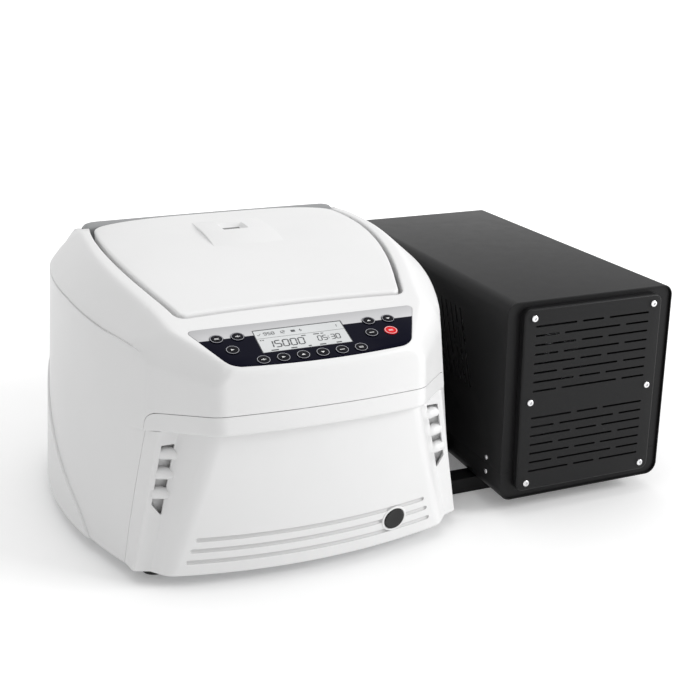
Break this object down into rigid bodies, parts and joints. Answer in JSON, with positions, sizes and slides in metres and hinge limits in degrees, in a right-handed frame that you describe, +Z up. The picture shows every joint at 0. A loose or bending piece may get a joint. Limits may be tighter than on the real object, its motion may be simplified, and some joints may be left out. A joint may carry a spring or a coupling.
{
  "type": "refrigerated centrifuge",
  "caption": "White benchtop laboratory centrifuge with a hinged lid over a cooled chamber and rotor, joined by cross bars to a dark sheet-metal cooling box.",
  "frame": {"origin": "centre of the footprint, on the bench", "axes": "+X to the right of the front, towards the cooling box; +Y to the back; +Z up"},
  "size_m": [0.7362, 0.5552, 0.3347],
  "materials": {
    "white_plastic": "satin",
    "grey_plastic": "satin",
    "dark_plastic": "satin",
    "navy_panel": "gloss film with a light band along the top",
    "red_plastic": "satin",
    "display_window": "polished",
    "board_green": "solder mask",
    "rubber": "matt",
    "foam": "moulded foam",
    "sight_glass": "polished",
    "stainless": "brushed",
    "aluminium": "satin",
    "black_aluminium": "anodised",
    "copper": "drawn tube",
    "black_paint": "fine powder coat"
  },
  "bodies": {
    "frame": {"upper_housing": "white_plastic", "front_panel": "white_plastic", "rear_cover": "white_plastic", "base_plate": "aluminium", "foot_front_left": "rubber", "foot_rear_left": "rubber", "foot_front_right": "rubber", "foot_rear_right": "rubber", "latch_block": "dark_plastic", "chamber_bowl": "stainless", "evaporator_coil": "copper", "insulation": "foam", "motor": "aluminium", "motor_plate": "aluminium", "damper_1": "rubber", "damper_2": "rubber", "damper_3": "rubber", "control_panel": "navy_panel", "display": "display_window", "circuit_board": "board_green", "power_inlet": "dark_plastic", "cooler_cover": "black_paint", "cooler_tray": "black_paint", "grille_plate": "black_paint", "cooler_back": "black_paint", "compressor": "black_paint", "condenser": "aluminium", "fan_motor": "dark_plastic", "front_bar": "black_paint", "rear_bar": "black_paint", "supply_line": "rubber", "return_line": "rubber"},
    "lid": {"lid_shell": "white_plastic", "lid_window": "sight_glass", "lid_liner": "grey_plastic", "lid_seal": "rubber", "hinge_bar": "grey_plastic", "hinge_rod": "stainless", "latch_hook": "stainless"},
    "bolt": {"latch_bolt": "stainless"},
    "rotor": {"motor_shaft": "stainless", "rotor_body": "black_aluminium", "rotor_lid": "aluminium"},
    "knob": {"rotor_knob": "dark_plastic"},
    "fan": {"condenser_fan": "dark_plastic"},
    "key_left_1": {"key_left_1": "dark_plastic"},
    "key_left_2": {"key_left_2": "dark_plastic"},
    "key_left_3": {"key_left_3": "dark_plastic"},
    "key_right_1": {"key_right_1": "dark_plastic"},
    "key_right_2": {"key_right_2": "dark_plastic"},
    "key_right_3": {"key_right_3": "dark_plastic"},
    "key_stop": {"key_stop": "red_plastic"},
    "key_row_1": {"key_row_1": "dark_plastic"},
    "key_row_2": {"key_row_2": "dark_plastic"},
    "key_row_3": {"key_row_3": "dark_plastic"},
    "key_row_4": {"key_row_4": "dark_plastic"},
    "key_row_5": {"key_row_5": "dark_plastic"},
    "key_row_6": {"key_row_6": "dark_plastic"},
    "button": {"front_button": "dark_plastic"},
    "switch": {"power_switch": "dark_plastic"}
  },
  "joints": [
    {"name": "lid_hinge", "type": "hinge", "parent": "frame", "child": "lid", "pos_m": [-0.1159, 0.164, 0.319], "axis": [-1, 0, 0], "range_deg": [0, 75]},
    {"name": "latch_slide", "type": "slide", "parent": "frame", "child": "bolt", "axis": [-1, 0, 0], "range_m": [0, 0.006]},
    {"name": "rotor_spin", "type": "hinge", "parent": "frame", "child": "rotor", "pos_m": [-0.1159, -0.007, 0.2], "axis": [0, 0, 1], "continuous": true},
    {"name": "knob_turn", "type": "hinge", "parent": "rotor", "child": "knob", "pos_m": [-0.1159, -0.007, 0.25], "axis": [0, 0, 1], "range_deg": [0, 360]},
    {"name": "fan_spin", "type": "hinge", "parent": "frame", "child": "fan", "pos_m": [0.2531, -0.124, 0.1168], "axis": [0, 1, 0], "continuous": true},
    {"name": "key_left_1_press", "type": "slide", "parent": "frame", "child": "key_left_1", "axis": [0, 0.2961, -0.9552], "range_m": [0, 0.0006], "stiffness_N_per_m": 1500, "springref_m": -0.0002},
    {"name": "key_left_2_press", "type": "slide", "parent": "frame", "child": "key_left_2", "axis": [0, 0.2961, -0.9552], "range_m": [0, 0.0006], "stiffness_N_per_m": 1500, "springref_m": -0.0002},
    {"name": "key_left_3_press", "type": "slide", "parent": "frame", "child": "key_left_3", "axis": [0, 0.2961, -0.9552], "range_m": [0, 0.0006], "stiffness_N_per_m": 1500, "springref_m": -0.0002},
    {"name": "key_right_1_press", "type": "slide", "parent": "frame", "child": "key_right_1", "axis": [0, 0.2961, -0.9552], "range_m": [0, 0.0006], "stiffness_N_per_m": 1500, "springref_m": -0.0002},
    {"name": "key_right_2_press", "type": "slide", "parent": "frame", "child": "key_right_2", "axis": [0, 0.2961, -0.9552], "range_m": [0, 0.0006], "stiffness_N_per_m": 1500, "springref_m": -0.0002},
    {"name": "key_right_3_press", "type": "slide", "parent": "frame", "child": "key_right_3", "axis": [0, 0.2961, -0.9552], "range_m": [0, 0.0006], "stiffness_N_per_m": 1500, "springref_m": -0.0002},
    {"name": "key_stop_press", "type": "slide", "parent": "frame", "child": "key_stop", "axis": [0, 0.2961, -0.9552], "range_m": [0, 0.0006], "stiffness_N_per_m": 1500, "springref_m": -0.0002},
    {"name": "key_row_1_press", "type": "slide", "parent": "frame", "child": "key_row_1", "axis": [0, 0.2961, -0.9552], "range_m": [0, 0.0006], "stiffness_N_per_m": 1500, "springref_m": -0.0002},
    {"name": "key_row_2_press", "type": "slide", "parent": "frame", "child": "key_row_2", "axis": [0, 0.2961, -0.9552], "range_m": [0, 0.0006], "stiffness_N_per_m": 1500, "springref_m": -0.0002},
    {"name": "key_row_3_press", "type": "slide", "parent": "frame", "child": "key_row_3", "axis": [0, 0.2961, -0.9552], "range_m": [0, 0.0006], "stiffness_N_per_m": 1500, "springref_m": -0.0002},
    {"name": "key_row_4_press", "type": "slide", "parent": "frame", "child": "key_row_4", "axis": [0, 0.2961, -0.9552], "range_m": [0, 0.0006], "stiffness_N_per_m": 1500, "springref_m": -0.0002},
    {"name": "key_row_5_press", "type": "slide", "parent": "frame", "child": "key_row_5", "axis": [0, 0.2961, -0.9552], "range_m": [0, 0.0006], "stiffness_N_per_m": 1500, "springref_m": -0.0002},
    {"name": "key_row_6_press", "type": "slide", "parent": "frame", "child": "key_row_6", "axis": [0, 0.2961, -0.9552], "range_m": [0, 0.0006], "stiffness_N_per_m": 1500, "springref_m": -0.0002},
    {"name": "button_press", "type": "slide", "parent": "frame", "child": "button", "axis": [-0.1642, 0.9748, 0.1511], "range_m": [0, 0.003], "stiffness_N_per_m": 600, "springref_m": -0.001},
    {"name": "switch_rock", "type": "hinge", "parent": "frame", "child": "switch", "pos_m": [-0.2719, 0.246, 0.062], "axis": [1, 0, 0], "range_deg": [-8, 8]}
  ]
}
